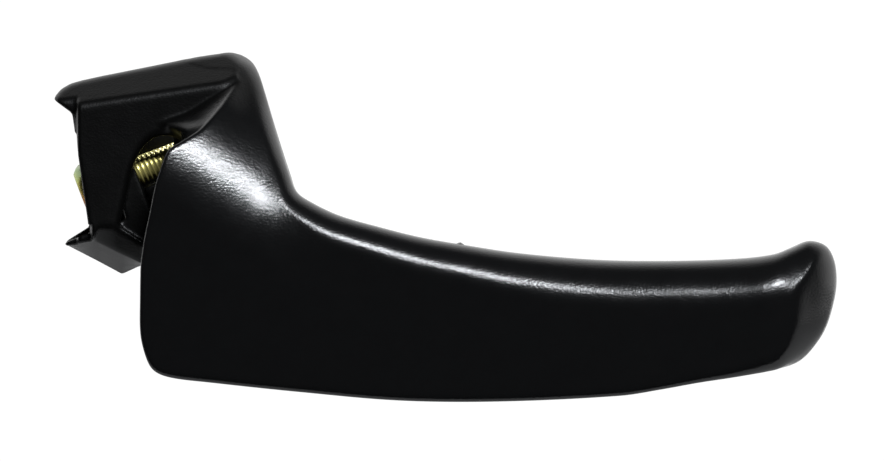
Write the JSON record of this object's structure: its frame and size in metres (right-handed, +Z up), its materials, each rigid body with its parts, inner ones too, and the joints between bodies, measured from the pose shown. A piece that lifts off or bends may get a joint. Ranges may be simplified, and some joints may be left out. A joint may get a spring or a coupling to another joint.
{
  "type": "car door handle",
  "caption": "Paddle-shaped black turning lever with a hollow hub clamped by a radial hex screw to a sprung square spindle in a studded door plate.",
  "frame": {"origin": "spindle axis at the door panel's outer face", "axes": "+Y along the spindle into the door, +X along the grip towards its free end, +Z up; the user is at -Y"},
  "size_m": [0.1653, 0.082, 0.0733],
  "materials": {
    "black_paint": "satin black baked paint with a fine orange peel, on die-cast zinc",
    "yellow_zinc": "yellow chromated zinc plate, slightly iridescent",
    "zinc_steel": "clear zinc plate",
    "plain_steel": "oiled steel",
    "spring_steel": "phosphated spring steel",
    "bronze": "sintered bronze",
    "nylon": "natural nylon",
    "black_rubber": "matt moulded rubber"
  },
  "bodies": {
    "door_mount": {"bearing_plate": "zinc_steel", "plate_studs": "zinc_steel", "gasket": "black_rubber", "bearing_bushes": "bronze", "spindle_seal": "black_rubber", "stop_pin": "plain_steel", "thrust_washer": "nylon", "return_spring": "spring_steel"},
    "lever": {"lever": "black_paint", "drive_insert": "plain_steel", "spindle": "zinc_steel", "spring_collar": "zinc_steel", "retaining_ring": "spring_steel"},
    "screw_washers": {"flat_washer": "yellow_zinc", "spring_washer": "yellow_zinc"},
    "fixing_screw": {"fixing_screw": "yellow_zinc"}
  },
  "joints": [
    {"name": "lever_turn", "type": "hinge", "parent": "door_mount", "child": "lever", "pos_m": [0, 0, 0], "axis": [0, -1, 0], "range_deg": [0, 42], "stiffness_Nm_per_rad": 0.9, "springref_deg": -34.38, "deforming": ["return_spring"]},
    {"name": "screw_advance", "type": "slide", "parent": "lever", "child": "screw_washers", "axis": [-0.9336, 0, -0.3584], "range_m": [0, 0.008]},
    {"name": "screw_turn", "type": "hinge", "parent": "screw_washers", "child": "fixing_screw", "pos_m": [0, -0.0148, 0], "axis": [-0.9336, 0, -0.3584], "range_deg": [0, 2880]}
  ],
  "couplings": [
    {"joint": "screw_turn", "follows": "screw_advance", "rad_per_m": 6283.2}
  ]
}
